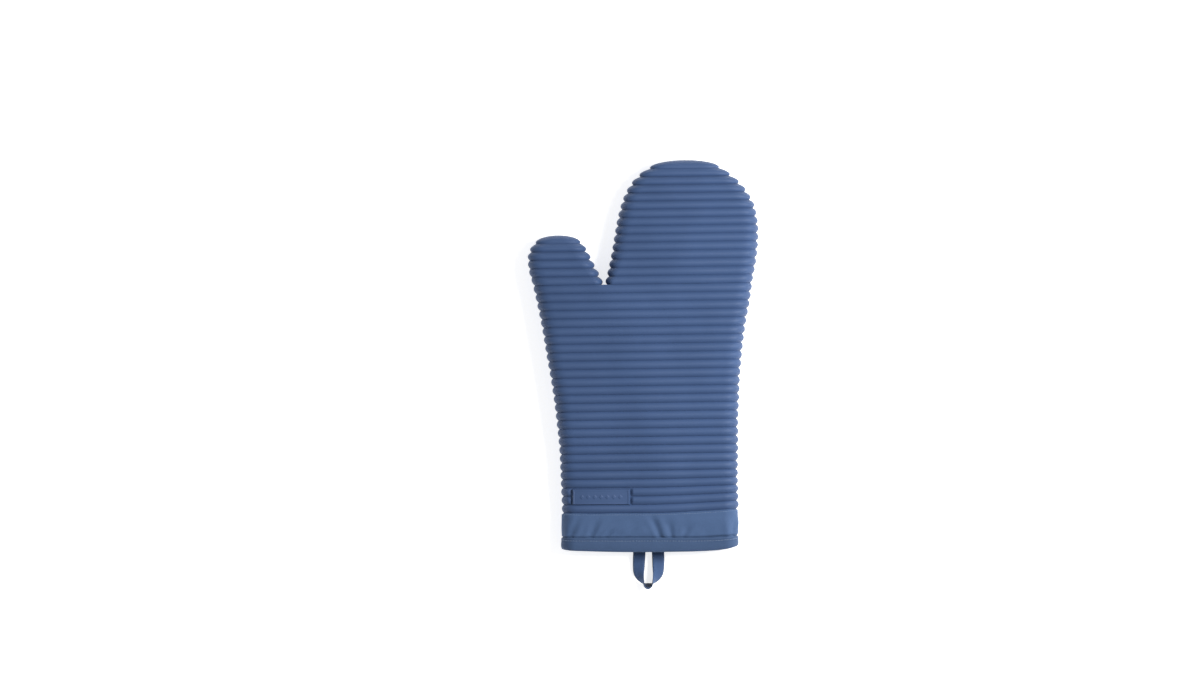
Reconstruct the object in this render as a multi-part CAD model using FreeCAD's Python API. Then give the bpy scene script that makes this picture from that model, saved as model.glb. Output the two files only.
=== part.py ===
"""Ribbed silicone oven mitt with a sewn cloth cuff and a hanging loop, lying flat with its palm side up.

Millimetres. While it is built, y = 0 is the hem at the wrist, +Y runs to the fingertips, the thumb is on
the -X side and the mitt lies on z = 0. At the end everything moves so that the origin is on z = 0 below
the middle of the outline.

The mitt is a stack of nested sleeves: silicone shell, wadding, cotton lining. Each follows one envelope at
its own inset. Below the crotch of the thumb there is one wide pocket, the hand. Above it are two, the
fingers and the thumb, which fold on lines across their first ribs.
"""
import FreeCAD
import Part
import math
import os

# ---- driving dimensions ----
CUFF_HALF_WIDTH = 75.0
CUFF_HALF_HEIGHT = 12.0
CUFF_LENGTH = 32.4       # hem to the first rib
RIB_PITCH = 7.16
RIB_HEIGHT = 1.5
HAND_RIBS = 27
FINGER_RIBS = 14
THUMB_RIBS = 5
RIB_TAPER = 0.0125       # each rib of a folding pocket is shorter than the last by twice this
CAP_LENGTH = 7.2         # the rounded end past the last full rib
SIDE_ROUND = 13.0        # how far in from the side the rounding of a section starts

WALL = 0.8               # silicone behind the ribs
WADDING = 2.0
LINING = 1.2
LAYER_GAP = 0.25
HALF_GAP = 0.2           # between the palm half and the back half of a sewn layer
BODY_GAP = 0.3           # between the hand and the pockets that fold
LOOP_GAP = 0.8           # between the hem and the loop that swings on it

CLOTH = 0.8              # one doubled thickness of the cuff's twill
BAND_INSET = 0.3
BINDING_HEIGHT = 10.2
STITCH_FROM_HEM = 7.6
THREAD = 0.5
FLANGE_LENGTH = 8.0      # smooth edge of the silicone that the band is sewn over

TAPE_WIDTH = 10.2
TAPE_THICKNESS = 1.0
LEG_OFFSET = 7.9         # from the loop's middle to the middle of each leg
TAPE_END_LENGTH = 9.0    # sewn length of each end, inside the hem
TACK_LENGTH = 8.0

PLATE_LENGTH = 49.0      # blank raised name plate
PLATE_LEFT = -65.5       # its end nearest the thumb side

# ---- worked-out places ----
CROTCH = CUFF_LENGTH + HAND_RIBS * RIB_PITCH
LAYERS_END = CROTCH - WALL - LAYER_GAP
FINGER_TIP = CROTCH + FINGER_RIBS * (RIB_PITCH - FINGER_RIBS * RIB_TAPER) + CAP_LENGTH
THUMB_TIP = CROTCH + THUMB_RIBS * (RIB_PITCH - THUMB_RIBS * RIB_TAPER) + CAP_LENGTH
FINGER_SHOULDER = CROTCH + 6 * RIB_PITCH
THUMB_SHOULDER = CROTCH + 3 * RIB_PITCH
SHELL_INSIDE = RIB_HEIGHT + WALL
WADDING_OUTSIDE = SHELL_INSIDE + LAYER_GAP
LINING_OUTSIDE = WADDING_OUTSIDE + WADDING + 1.5 * LAYER_GAP
LINING_INSIDE = LINING_OUTSIDE + LINING
BAND_INSIDE = BAND_INSET + 1.5 * CLOTH
CUFF_LINING_OUTSIDE = BAND_INSIDE + LAYER_GAP
INNER_LEG = CUFF_LINING_OUTSIDE + LINING + LAYER_GAP
BINDING_INSIDE = INNER_LEG + CLOTH
TAPE_BOTTOM = BINDING_INSIDE + LAYER_GAP   # on the inner leg of the back panel
TAPE_MIDDLE = TAPE_BOTTOM + TAPE_THICKNESS / 2


def through(knots, y):
    """A smooth curve through (y, value) knots, level past its ends, with no overshoot between them."""
    if y <= knots[0][0]:
        return knots[0][1]
    if y >= knots[-1][0]:
        return knots[-1][1]
    slopes = [(b[1] - a[1]) / (b[0] - a[0]) for a, b in zip(knots, knots[1:])]
    tangents = [slopes[0]]
    for before, after in zip(slopes, slopes[1:]):
        tangents.append(0.0 if before * after <= 0 else 2 * before * after / (before + after))
    tangents.append(slopes[-1])
    i = max(k for k in range(len(knots) - 1) if knots[k][0] <= y)
    span = knots[i + 1][0] - knots[i][0]
    t = (y - knots[i][0]) / span
    return (
        knots[i][1] * (2 * t**3 - 3 * t**2 + 1)
        + tangents[i] * span * (t**3 - 2 * t**2 + t)
        + knots[i + 1][1] * (3 * t**2 - 2 * t**3)
        + tangents[i + 1] * span * (t**3 - t**2)
    )


class Pocket:
    """The envelope of one pocket: its edges, half height and side rounding along y, and its domed end."""

    def __init__(
        self, left, right, half_height, round_left, round_right, shoulder=None, tip=None, bluntness=2.0
    ):
        self.left, self.right, self.half_height = left, right, half_height
        self.round_left, self.round_right = round_left, round_right
        self.shoulder, self.tip, self.bluntness = shoulder, tip, bluntness

    def size(self, y, inset):
        """(left edge, right edge, half height, height of the middle) of the envelope, inset evenly."""
        middle_z = through(self.half_height, y)
        if self.shoulder is None or y <= self.shoulder:
            half = middle_z - inset
            return through(self.left, y) + inset, through(self.right, y) - inset, half, middle_z
        at = self.shoulder
        share = min((y - at) / (self.tip - inset - at), 0.9995)
        centre = (through(self.left, at) + through(self.right, at)) / 2
        half_width = (through(self.right, at) - through(self.left, at)) / 2 - inset
        half_width *= math.sqrt(1 - share**self.bluntness)
        half = (middle_z - inset) * math.sqrt(1 - share**2.6)
        return centre - half_width, centre + half_width, half, middle_z

    def section(self, y, inset):
        """A closed wire: flat top and bottom, and a half ellipse at each side."""
        left, right, half, middle_z = self.size(y, inset)
        widest = 0.42 * (right - left)
        round_left = min(max(through(self.round_left, y) - inset, 1.5), widest)
        round_right = min(max(through(self.round_right, y) - inset, 1.5), widest)
        edges = []
        for centre, reach in ((right - round_right, round_right), (left + round_left, -round_left)):
            side = 1 if reach > 0 else -1
            points = []
            for turn in range(9):
                angle = math.pi * (0.5 - turn / 8)
                x = centre + reach * math.cos(angle)
                points.append(FreeCAD.Vector(x, y, middle_z + side * half * math.sin(angle)))
            along = FreeCAD.Vector(reach * math.pi / 8, 0, 0)
            curve = Part.BSplineCurve()
            curve.interpolate(
                Points=points,
                Parameters=[float(turn) for turn in range(9)],
                InitialTangent=along,
                FinalTangent=along * -1,
                Scale=False,
            )
            edges.append((curve.toShape(), points[0], points[-1]))
        right_arc, left_arc = edges
        bottom = Part.makeLine(right_arc[2], left_arc[1])
        top = Part.makeLine(left_arc[2], right_arc[1])
        return Part.Wire([right_arc[0], bottom, left_arc[0], top])


SIDE = [(CUFF_LENGTH, CUFF_HALF_HEIGHT), (100, SIDE_ROUND)]
HAND = Pocket(
    left=[
        (0, -CUFF_HALF_WIDTH), (CUFF_LENGTH, -CUFF_HALF_WIDTH), (80, -75.6), (127, -79.3), (170, -86.8),
        (CROTCH, -98.6), (230, -100.2),
    ],
    right=[
        (0, CUFF_HALF_WIDTH), (94, CUFF_HALF_WIDTH), (127, 76.0), (161, 78.1), (195, 81.6), (CROTCH, 86.3),
        (230, 87.1),
    ],
    half_height=[(CUFF_LENGTH, CUFF_HALF_HEIGHT), (85, 13.6), (140, 15.0), (CROTCH, 15.0)],
    round_left=SIDE,
    round_right=SIDE,
)
CROTCH_SIDE = [(CROTCH, 8.0), (CROTCH + 20, SIDE_ROUND - 1)]
FINGERS = Pocket(
    left=[(CROTCH, -37.6), (245, -33.8), (FINGER_SHOULDER, -29.9)],
    right=[(CROTCH, 86.3), (245, 89.3), (FINGER_SHOULDER, 91.2)],
    half_height=[(CROTCH, 15.0), (FINGER_SHOULDER, 14.5)],
    round_left=CROTCH_SIDE,
    round_right=SIDE,
    shoulder=FINGER_SHOULDER,
    tip=FINGER_TIP,
    bluntness=2.3,
)
THUMB = Pocket(
    left=[(CROTCH, -98.6), (235, -101.8), (THUMB_SHOULDER, -103.2)],
    right=[(CROTCH, -39.4), (235, -44.0), (THUMB_SHOULDER, -48.8)],
    half_height=[(CROTCH, 15.0), (THUMB_SHOULDER, 12.8)],
    round_left=SIDE,
    round_right=CROTCH_SIDE,
    shoulder=THUMB_SHOULDER,
    tip=THUMB_TIP,
    bluntness=1.8,
)


HAND_STATIONS = [CLOTH, 5, BINDING_HEIGHT, 14, 18, 22, 26, 30, 34, 40, 50, 64, 80]
HAND_STATIONS += [96, 112, 128, 144, 160, 174, 188, 200, 212, CROTCH, 230]


def slab(y_from, y_to, z_from=-50, z_to=100):
    box = Part.makeBox(400, y_to - y_from, z_to - z_from)
    box.translate(FreeCAD.Vector(-200, y_from, z_from))
    return box


def sleeve(pocket, inset):
    """A closed solid of a pocket's envelope at one inset, or at an inset that varies with y.

    Every inset uses the same stations, so that layers stay evenly apart. The hand's runs on past the crotch.
    A folding pocket's starts at the crotch and ends at its tip.
    """
    depth = inset if callable(inset) else (lambda y: inset)
    if pocket.tip is None:
        stations = HAND_STATIONS
    else:
        start, shoulder, end = CROTCH, pocket.shoulder, pocket.tip - depth(pocket.tip) - 0.15
        straight = round((shoulder - start) / 6)
        dome = 8
        stations = [start + (shoulder - start) * i / straight for i in range(straight)]
        stations += [shoulder + (end - shoulder) * math.sin(i / dome * math.pi / 2) for i in range(dome + 1)]
    return Part.makeLoft([pocket.section(y, depth(y)) for y in stations], True, False)


def rib(pocket, start, end):
    """One rib: a band of silicone that rounds out from groove to groove."""
    middle = (start + end) / 2
    wires = [pocket.section(start, RIB_HEIGHT), pocket.section(middle, 0), pocket.section(end, RIB_HEIGHT)]
    return Part.makeLoft(wires, True, False)


def rib_stack(pocket, start, count, taper=0.0):
    """Ribs from start on. On a folding pocket they follow its curve down, so each is a little shorter."""
    grooves = [start + i * (RIB_PITCH - i * taper) for i in range(count + 1)]
    return [rib(pocket, a, b) for a, b in zip(grooves, grooves[1:])]


def rib_cap(pocket):
    """The rounded end past the last full rib."""
    stations = [(CAP_LENGTH, RIB_HEIGHT), (5.2, 0.3), (3.0, 0), (1.2, 0), (0.25, 0)]
    wires = [pocket.section(pocket.tip - before, inset) for before, inset in stations]
    return Part.makeLoft(wires, True, False)


def fuse(solids):
    return solids[0].multiFuse(solids[1:]) if len(solids) > 1 else solids[0]


# ---- silicone shell ----
def hand_shell():
    """Ribbed from the cuff to the crotch, with the smooth flange that goes under the cuff band."""
    flange_start = CUFF_LENGTH - FLANGE_LENGTH
    flange = sleeve(HAND, BAND_INSIDE + LAYER_GAP).common(slab(flange_start, CUFF_LENGTH + 1))
    outside = fuse([flange] + rib_stack(HAND, CUFF_LENGTH, HAND_RIBS) + [name_plate()])
    return outside.cut(sleeve(HAND, SHELL_INSIDE)).fuse(crotch_web())


def crotch_web():
    """Closes the end of the hand in the crotch, between the thumb and the fingers."""
    left = through(THUMB.right, CROTCH) - SHELL_INSIDE
    right = through(FINGERS.left, CROTCH) + SHELL_INSIDE
    height = 2 * (through(HAND.half_height, CROTCH) - SHELL_INSIDE) + WALL
    web = Part.makeBox(right - left, WALL, height)
    web.translate(FreeCAD.Vector(left, CROTCH - WALL, SHELL_INSIDE - WALL / 2))
    return web


def name_plate():
    """A blank raised plate, two ribs high, level with the crests."""
    start = CUFF_LENGTH + RIB_PITCH
    end = start + 2 * RIB_PITCH
    blank = Part.makeLoft([HAND.section(y, 0) for y in (start + 0.4, end - 0.4)], True, True)
    keep = Part.makeBox(PLATE_LENGTH, 3 * RIB_PITCH, 2 * RIB_HEIGHT)
    top = 2 * through(HAND.half_height, end)
    keep.translate(FreeCAD.Vector(PLATE_LEFT, start - 1, top - 2 * RIB_HEIGHT))
    return blank.common(keep)


def folding_shell(pocket, ribs):
    stack = rib_stack(pocket, CROTCH, ribs, RIB_TAPER) + [rib_cap(pocket)]
    return fuse(stack).cut(slab(CROTCH - 5, CROTCH + BODY_GAP)).cut(sleeve(pocket, SHELL_INSIDE))


# ---- sewn layers ----
def halves(layer, pocket):
    """The back half, which lies lower, and the palm half above it, either side of the side seams."""
    seam = pocket.half_height[-1][1] - 0.5
    back = layer.common(slab(-50, 400, -50, seam - HALF_GAP / 2))
    palm = layer.common(slab(-50, 400, seam + HALF_GAP / 2, 100))
    return back, palm


def cuff_inset(deep, shallow):
    """An inset that eases from deep, inside the ribs, to shallow, inside the hem."""
    ease = [
        (BINDING_HEIGHT, shallow),
        (BINDING_HEIGHT + 2, shallow),
        (CUFF_LENGTH - 2, deep),
        (CUFF_LENGTH, deep),
    ]
    return lambda y: through(ease, y)


def hand_wadding():
    layer = sleeve(HAND, WADDING_OUTSIDE).common(slab(CUFF_LENGTH + 1, LAYERS_END))
    return layer.cut(sleeve(HAND, WADDING_OUTSIDE + WADDING))


def hand_lining():
    outside = cuff_inset(LINING_OUTSIDE, CUFF_LINING_OUTSIDE)
    inside = cuff_inset(LINING_INSIDE, CUFF_LINING_OUTSIDE + LINING)
    layer = sleeve(HAND, outside).common(slab(CLOTH + LAYER_GAP, LAYERS_END))
    return layer.cut(sleeve(HAND, inside))


def folding_layer(pocket, outside, inside):
    layer = sleeve(pocket, outside).cut(slab(CROTCH - 5, CROTCH + BODY_GAP))
    return layer.cut(sleeve(pocket, inside))


# ---- cuff ----
def cuff_wire(inset, y):
    """The cuff's outline at one height: two straight sides and two round ends."""
    radius = CUFF_HALF_HEIGHT - inset
    end_x = CUFF_HALF_WIDTH - CUFF_HALF_HEIGHT
    z = CUFF_HALF_HEIGHT
    top, bottom = z + radius, z - radius
    corners = [(-end_x, top), (end_x, top), (end_x, bottom), (-end_x, bottom)]
    a, b, c, d = [FreeCAD.Vector(x, y, h) for x, h in corners]
    right = FreeCAD.Vector(end_x + radius, y, z)
    left = FreeCAD.Vector(-end_x - radius, y, z)
    edges = [
        Part.makeLine(a, b),
        Part.Arc(b, right, c).toShape(),
        Part.makeLine(c, d),
        Part.Arc(d, left, a).toShape(),
    ]
    return Part.Wire(edges)


def cuff_ring(outside, inside, y_from, y_to):
    along = FreeCAD.Vector(0, y_to - y_from, 0)
    solid = Part.Face(cuff_wire(outside, y_from)).extrude(along)
    return solid.cut(Part.Face(cuff_wire(inside, y_from)).extrude(along))


def cuff_band():
    """Twill band: one doubled strip, stepped in where the binding covers its lower edge."""
    tongue_outside = CLOTH + LAYER_GAP
    upper = cuff_ring(BAND_INSET, BAND_INSIDE, BINDING_HEIGHT + LAYER_GAP, CUFF_LENGTH - LAYER_GAP)
    tongue = cuff_ring(tongue_outside, BAND_INSIDE, CLOTH + LAYER_GAP, BINDING_HEIGHT + LAYER_GAP)
    return fuse([upper, tongue])


def hem_binding():
    """The strip folded over the hem: outer leg with a groove for the stitches, end web, inner leg."""
    groove_from, groove_to = STITCH_FROM_HEM - THREAD, STITCH_FROM_HEM + THREAD
    rings = [
        cuff_ring(0, CLOTH, CLOTH, groove_from),
        cuff_ring(THREAD, CLOTH, groove_from, groove_to),
        cuff_ring(0, CLOTH, groove_to, BINDING_HEIGHT),
        cuff_ring(0, BINDING_INSIDE, 0, CLOTH),
        cuff_ring(INNER_LEG, BINDING_INSIDE, CLOTH, BINDING_HEIGHT),
    ]
    return fuse(rings)


def thread_ring(outside, y):
    return cuff_ring(outside, outside + 0.8 * THREAD, y - THREAD / 2, y + THREAD / 2)


# ---- hanging loop ----
def loop_ends():
    ends = []
    for side in (-1, 1):
        end = Part.makeBox(TAPE_WIDTH, TAPE_END_LENGTH, TAPE_THICKNESS)
        end.translate(FreeCAD.Vector(side * LEG_OFFSET - TAPE_WIDTH / 2, 0, TAPE_BOTTOM))
        ends.append(end)
    return Part.makeCompound(ends)


def loop_tacks():
    tacks = []
    for side in (-1, 1):
        tack = Part.makeBox(TACK_LENGTH, 1.6, THREAD)
        left = side * LEG_OFFSET - TACK_LENGTH / 2
        place = (left, STITCH_FROM_HEM - 0.8, TAPE_BOTTOM + TAPE_THICKNESS + 0.02)
        tack.translate(FreeCAD.Vector(*place))
        tacks.append(tack)
    return Part.makeCompound(tacks)


# half of the loop, from the hem to the tip: share, then x, y and z of the tape's middle, or roll in degrees
LOOP_X = [(0, -LEG_OFFSET), (0.25, -8.5), (0.5, -8.9), (0.65, -8.3), (0.8, -6.3), (0.9, -3.8), (1, 0)]
LOOP_Y = [(0, -LOOP_GAP), (0.25, -9.0), (0.5, -17.5), (0.65, -22.3), (0.8, -26.6), (0.9, -29.2), (1, -30.6)]
LOOP_Z = [(0, TAPE_MIDDLE), (0.5, TAPE_MIDDLE), (0.8, TAPE_WIDTH / 2 + 0.3), (1, TAPE_WIDTH / 2 + 0.3)]
LOOP_ROLL = [(0, 0), (0.25, 2), (0.5, 12), (0.65, 38), (0.8, 72), (0.9, 100), (1, 126)]


def loop_point(share):
    """The middle of the tape, at share 0 to 2 of the way round the loop."""
    half = min(share, 2 - share)
    side = 1 if share <= 1 else -1
    return FreeCAD.Vector(side * through(LOOP_X, half), through(LOOP_Y, half), through(LOOP_Z, half))


def tape_section(share):
    """The tape's section. It leaves the hem flat, and at the tip it stands on its edge and leans out."""
    here = loop_point(share)
    before, after = loop_point(max(share - 0.03, 0)), loop_point(min(share + 0.03, 2))
    if 0 < share < 2:
        along = (after - before).normalize()
    else:
        along = FreeCAD.Vector(0, -1 if share == 0 else 1, 0)
    roll = math.radians(through(LOOP_ROLL, min(share, 2 - share)))
    across = FreeCAD.Vector(-along.y, along.x, 0)
    wide = across * math.cos(roll) + FreeCAD.Vector(0, 0, math.sin(roll))
    thick = along.cross(wide)
    corners = []
    for w, t in ((-1, -1), (1, -1), (1, 1), (-1, 1)):
        corners.append(here + wide * (w * TAPE_WIDTH / 2) + thick * (t * TAPE_THICKNESS / 2))
    return Part.makePolygon(corners + corners[:1])


def hanging_loop():
    count = 24
    return Part.makeLoft([tape_section(2 * i / count) for i in range(count + 1)], True, False)


def build():
    parts = {
        "shell_hand": hand_shell(),
        "shell_fingers": folding_shell(FINGERS, FINGER_RIBS),
        "shell_thumb": folding_shell(THUMB, THUMB_RIBS),
        "cuff_band": cuff_band(),
        "hem_binding": hem_binding(),
        "hem_thread": thread_ring(0.05, STITCH_FROM_HEM),
        "cuff_join_thread": thread_ring(SHELL_INSIDE + 0.2, CUFF_LENGTH - FLANGE_LENGTH / 2),
        "loop_ends": loop_ends(),
        "loop_tacks": loop_tacks(),
        "hanging_loop": hanging_loop(),
    }
    layers = {
        "wadding_{}_hand": (hand_wadding(), HAND),
        "lining_{}_hand": (hand_lining(), HAND),
    }
    for name, pocket in (("fingers", FINGERS), ("thumb", THUMB)):
        wadding = folding_layer(pocket, WADDING_OUTSIDE, WADDING_OUTSIDE + WADDING)
        layers["wadding_{}_" + name] = (wadding, pocket)
        layers["lining_{}_" + name] = (folding_layer(pocket, LINING_OUTSIDE, LINING_INSIDE), pocket)
    for name, (layer, pocket) in layers.items():
        back, palm = halves(layer, pocket)
        parts[name.format("back")] = back
        parts[name.format("palm")] = palm
    return parts


def centre_and_export(parts):
    """Moves every part so that the origin is below the middle of the outline, and writes the STEP files."""
    whole = Part.makeCompound(list(parts.values())).optimalBoundingBox(False)
    shift = FreeCAD.Vector(-whole.Center.x, -whole.Center.y, -whole.ZMin)
    print("origin shift", shift, "size", whole.XLength, whole.YLength, whole.ZLength)
    os.makedirs("parts", exist_ok=True)
    for name, shape in parts.items():
        shape.translate(shift)
        shape.exportStep(f"parts/{name}.step")
        print(name, len(shape.Solids), round(shape.Volume / 1000, 2), "cm3", shape.isValid())


centre_and_export(build())
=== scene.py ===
"""Looks of the ribbed silicone oven mitt, which lies flat with its palm side up.

Lengths are millimetres in the mitt's own frame, unless a comment says otherwise: x = 0 at the middle of the
cuff, y = 0 at the hem, +y to the fingertips, thumb on the -x side, and z = 0 on the table. row() turns them
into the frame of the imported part, in metres.
"""

import math
import random

import bpy
import numpy as np
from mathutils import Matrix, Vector


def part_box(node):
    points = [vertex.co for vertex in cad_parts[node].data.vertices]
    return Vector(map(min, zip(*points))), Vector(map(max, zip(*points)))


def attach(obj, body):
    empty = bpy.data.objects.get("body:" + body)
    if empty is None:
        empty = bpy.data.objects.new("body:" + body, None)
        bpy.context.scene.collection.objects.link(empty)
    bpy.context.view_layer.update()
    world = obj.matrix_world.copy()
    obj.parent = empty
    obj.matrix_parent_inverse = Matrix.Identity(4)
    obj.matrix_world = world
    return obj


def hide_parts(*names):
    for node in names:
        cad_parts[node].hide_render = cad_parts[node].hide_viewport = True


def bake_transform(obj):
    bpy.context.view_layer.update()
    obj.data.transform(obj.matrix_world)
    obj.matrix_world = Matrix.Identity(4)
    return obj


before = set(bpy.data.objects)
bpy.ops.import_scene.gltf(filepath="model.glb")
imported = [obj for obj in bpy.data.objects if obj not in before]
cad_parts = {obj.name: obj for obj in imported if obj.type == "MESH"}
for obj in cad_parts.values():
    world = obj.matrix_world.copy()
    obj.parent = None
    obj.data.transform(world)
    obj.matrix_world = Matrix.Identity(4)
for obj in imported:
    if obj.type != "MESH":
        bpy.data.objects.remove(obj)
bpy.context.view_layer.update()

# ---------------------------------------------------------------- places taken from the frame
MM = 0.001
HEM_LOW, HEM_HIGH = (np.array(c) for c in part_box("hem_binding"))
ORIGIN = np.array([(HEM_LOW[0] + HEM_HIGH[0]) / 2, HEM_LOW[1], 0.0])
CUFF_HALF_WIDTH = (HEM_HIGH[0] - HEM_LOW[0]) / 2 / MM
CUFF_HALF_HEIGHT = (HEM_HIGH[2] - HEM_LOW[2]) / 2 / MM


def top_y(node):
    return (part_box(node)[1][1] - ORIGIN[1]) / MM


CROTCH = top_y("shell_hand")
FINGER_TIP = top_y("shell_fingers")
THUMB_TIP = top_y("shell_thumb")

# ---------------------------------------------------------------- dimensions
CUFF_LENGTH = 32.4
HAND_RIBS = 27
FINGER_RIBS = 14
THUMB_RIBS = 5
RIB_PITCH = (CROTCH - CUFF_LENGTH) / HAND_RIBS
RIB_TAPER = 0.0125
RIB_HEIGHT = 1.95
RIB_STEP = 1.8            # how much the ribs of the domed ends look like stacked discs
WALL = 2.45               # inset of the shell's smooth inside
WADDING_INSET = (2.6, 4.5)
LINING_INSET = (4.9, 6.0)
RIB_SLOPE = 0.0137        # the ribs run up very slightly to the right
SLOPE_CENTRE = 21.0
MID_HEIGHT = 15.0         # above the table, where the mitt is thickest

# Where each folding piece starts and ends its bend, by y. Nothing in this script reads them.
FINGER_BLEND = (CROTCH + 1.2, CROTCH + 26.8)
THUMB_BLEND = (CROTCH - 0.2, CROTCH + 21.2)


def row(points):
    """Millimetres in the mitt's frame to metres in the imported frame."""
    return np.asarray(points, float) * MM + ORIGIN


def through(knots, y):
    """A smooth curve through (y, value) knots, level past its ends, with no overshoot between them."""
    xs, vs = (np.array(a, float) for a in zip(*knots))
    y = np.clip(np.asarray(y, float), xs[0], xs[-1])
    d = np.diff(vs) / np.diff(xs)
    t = np.empty(len(xs))
    t[0], t[-1] = d[0], d[-1]
    for i in range(1, len(xs) - 1):
        t[i] = 0.0 if d[i - 1] * d[i] <= 0 else 2 * d[i - 1] * d[i] / (d[i - 1] + d[i])
    i = np.clip(np.searchsorted(xs, y, side="right") - 1, 0, len(xs) - 2)
    h = xs[i + 1] - xs[i]
    u = (y - xs[i]) / h
    return (
        vs[i] * (2 * u**3 - 3 * u**2 + 1)
        + t[i] * h * (u**3 - 2 * u**2 + u)
        + vs[i + 1] * (3 * u**2 - 2 * u**3)
        + t[i + 1] * h * (u**3 - u**2)
    )


def ease(a, b, x):
    u = np.clip((np.asarray(x, float) - a) / (b - a), 0, 1)
    return u * u * (3 - 2 * u)


# ---------------------------------------------------------------- the drawn-in shape of the real mitt
BINDING_TOP = 10.8
# How far the band's top, the binding's top and the hem stand above their straight lines, by x.
BAND_TOP_RISE = [(-75, 0.6), (-35, 0.1), (0, -0.3), (20, 0.1), (45, 1.0), (75, 2.5)]
BINDING_TOP_RISE = [(-75, 0.0), (0, 0.2), (45, 0.1), (60, 0.7), (75, 1.6)]
HEM_RISE = [(-75, 0.9), (-66, 0.0), (-15, -1.2), (30, -0.8), (55, 0.3), (66, 1.8), (75, 3.8)]


def drawn(points):
    """Moves points as the sewing pulls the real cuff: the hem bows, and the ribs run up to the right."""
    p = np.array(points, float)
    x, y = p[..., 0], p[..., 1]
    slope = RIB_SLOPE * (x - SLOPE_CENTRE)
    lift = through(BAND_TOP_RISE, x)
    band_top = slope + lift
    above = slope + lift * (1 - ease(CUFF_LENGTH, CUFF_LENGTH + 46, y))
    hem, binding = through(HEM_RISE, x), through(BINDING_TOP_RISE, x)
    u = np.clip(y / BINDING_TOP, 0, 1)
    low = hem * (1 - u) + binding * u
    v = np.clip((y - BINDING_TOP) / (CUFF_LENGTH - BINDING_TOP), 0, 1)
    band = binding * (1 - v) + band_top * v
    p[..., 1] = y + np.where(y < BINDING_TOP, low, np.where(y < CUFF_LENGTH, band, above))
    sag = 1.6 * (1 - np.clip(np.abs(x) / 66, 0, 1) ** 2) * (1 - ease(4, 70, y))
    p[..., 2] -= sag * ease(6, 18, p[..., 2])
    return p


def waves(x, y, seed, length):
    """Gentle unevenness, about -1 to 1, made of a few sine waves."""
    rng = np.random.default_rng(seed)
    total = np.zeros(np.broadcast(x, y).shape)
    for _ in range(5):
        a = rng.uniform(0, math.pi)
        k = 2 * math.pi / (length * rng.uniform(0.7, 1.6))
        total = total + np.sin(k * (x * math.cos(a) + y * math.sin(a)) + rng.uniform(0, 6.3))
    return total / 3.2


# ---------------------------------------------------------------- the three pockets
class Pocket:
    """A flat pocket. Its sides, half height, mid height and side rounding are knots by y.

    A pocket with a tip closes in a dome from its last groove on.
    """

    def __init__(self, left, right, half, middle, round_left, round_right, seed, last_groove=None, tip=None):
        self.left, self.right, self.half, self.middle = left, right, half, middle
        self.round_left, self.round_right, self.seed = round_left, round_right, seed
        self.last_groove, self.tip = last_groove, tip

    def rings(self, y, inset, shape_y=None, top=26, side=22):
        """Rings of points at each y, inset evenly. shape_y lets a ring take its outline from another y.

        top and side are the points along each flat face and round each side.
        """
        y = np.asarray(y, float)
        at = y if shape_y is None else np.asarray(shape_y, float)
        inset = np.broadcast_to(np.asarray(inset, float), y.shape)
        left, right = through(self.left, at), through(self.right, at)
        half, middle = through(self.half, at), through(self.middle, at)
        if self.tip is not None:
            share = np.clip((at - self.last_groove) / (self.tip - self.last_groove), 0, 1)
            shrink = np.sqrt(1 - share**2)
            centre, reach = (left + right) / 2, (right - left) / 2
            left, right, half = centre - reach * shrink, centre + reach * shrink, half * shrink
        centre = (left + right) / 2
        reach = np.maximum((right - left) / 2 - inset, 0.02)
        left, right = centre - reach, centre + reach
        half = np.maximum(half - inset, 0.02)
        wide = 0.9 * reach
        round_left = np.minimum(np.maximum(through(self.round_left, at) - inset, 1.2), wide)
        round_right = np.minimum(np.maximum(through(self.round_right, at) - inset, 1.2), wide)
        turn = np.linspace(0, math.pi, side, endpoint=False)
        squareness = 2 / (2 + 0.35 * ease(CUFF_LENGTH - 1, CUFF_LENGTH + 20, at))[:, None]
        cos = np.abs(np.sin(turn)) ** squareness
        sin = np.sign(np.cos(turn)) * np.abs(np.cos(turn)) ** squareness
        flat = np.linspace(0, 1, top, endpoint=False)
        a, b = (left + round_left)[:, None], (right - round_right)[:, None]
        h = half[:, None]
        face = np.repeat(h, top, axis=1)
        xs = [
            a + (b - a) * flat, b + round_right[:, None] * cos,
            b + (a - b) * flat, a - round_left[:, None] * cos,
        ]
        x, z = np.concatenate(xs, axis=1), np.concatenate([face, h * sin, -face, -h * sin], axis=1)
        off_centre = (x - centre[:, None]) / np.maximum(reach[:, None], 1)
        z = z * (1 - 0.045 * off_centre**2) + middle[:, None]
        yy = np.broadcast_to(y[:, None], x.shape)
        up = np.clip((z - middle[:, None]) / np.maximum(h, 1), -1, 1)
        bumps = waves(x, yy, self.seed, 70) * 0.55 + waves(x, yy, self.seed + 7, 28) * 0.12
        z = z + bumps * np.where(up > 0, up, -0.4 * up * np.sign(bumps))
        x = x + 0.35 * waves(yy, z, self.seed + 3, 46) * np.abs(off_centre) ** 3
        return np.stack([x, yy, z], axis=2)


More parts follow.
